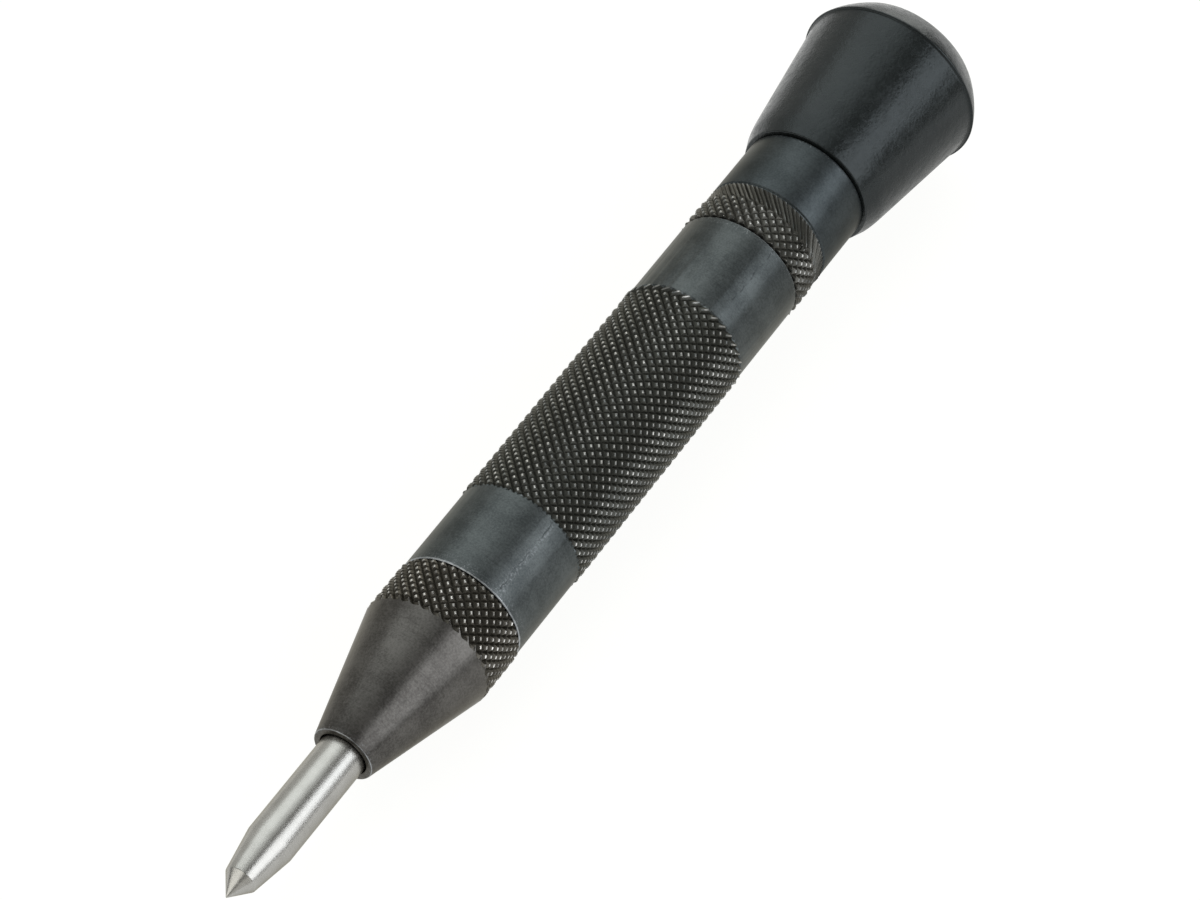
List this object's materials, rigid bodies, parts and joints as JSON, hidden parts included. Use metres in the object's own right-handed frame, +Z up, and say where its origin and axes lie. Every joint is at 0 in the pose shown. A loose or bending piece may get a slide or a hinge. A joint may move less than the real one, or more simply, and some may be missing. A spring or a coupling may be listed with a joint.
{
  "type": "automatic center punch",
  "caption": "Spring-loaded automatic center punch with a sliding point, knurled barrel, adjusting screw cap and soft palm cap.",
  "frame": {"origin": "under the middle of the lying tool, on the surface that its widest ring touches", "axes": "+X along the tool axis from the point to the palm cap, +Z up"},
  "size_m": [0.146, 0.0236, 0.0237],
  "materials": {
    "point_steel": "ground, fine rings",
    "nose_oxide": "black oxide, satin, knurled band",
    "barrel_oxide": "black oxide, satin, knurled grip",
    "cap_oxide": "black oxide, satin, knurled band",
    "cap_rubber": "smooth satin black",
    "inner_steel": "turned and oiled",
    "spring_wire": "drawn wire"
  },
  "bodies": {
    "barrel_body": {"barrel": "barrel_oxide", "nose_cone": "nose_oxide", "main_spring": "spring_wire"},
    "plunger_body": {"punch_point": "point_steel", "plunger": "inner_steel", "release_pin": "inner_steel", "return_spring": "spring_wire"},
    "hammer_body": {"hammer": "inner_steel", "trip_spring": "spring_wire"},
    "trip_body": {"trip_block": "inner_steel"},
    "seat_body": {"spring_seat": "inner_steel"},
    "cap_body": {"adjusting_cap": "cap_oxide", "end_cap": "cap_rubber"}
  },
  "joints": [
    {"name": "point_slide", "type": "slide", "parent": "barrel_body", "child": "plunger_body", "axis": [1, 0, 0], "range_m": [0, 0.008], "stiffness_N_per_m": 800, "springref_m": -0.02},
    {"name": "hammer_slide", "type": "slide", "parent": "barrel_body", "child": "hammer_body", "axis": [1, 0, 0], "range_m": [0, 0.008], "deforming": ["main_spring"]},
    {"name": "trip_slide", "type": "slide", "parent": "hammer_body", "child": "trip_body", "axis": [0, 0, -1], "range_m": [0, 0.001], "deforming": ["trip_spring"]},
    {"name": "seat_slide", "type": "slide", "parent": "barrel_body", "child": "seat_body", "axis": [1, 0, 0], "range_m": [0, 0.004], "deforming": ["main_spring"]},
    {"name": "cap_turn", "type": "hinge", "parent": "seat_body", "child": "cap_body", "pos_m": [0.0393, 0, 0.01184], "axis": [1, 0, 0], "range_deg": [0, 1440]}
  ],
  "couplings": [
    {"joint": "hammer_slide", "follows": "point_slide", "ratio": 1},
    {"joint": "trip_slide", "follows": "point_slide", "ratio": 0.125},
    {"joint": "cap_turn", "follows": "seat_slide", "rad_per_m": 6283}
  ]
}
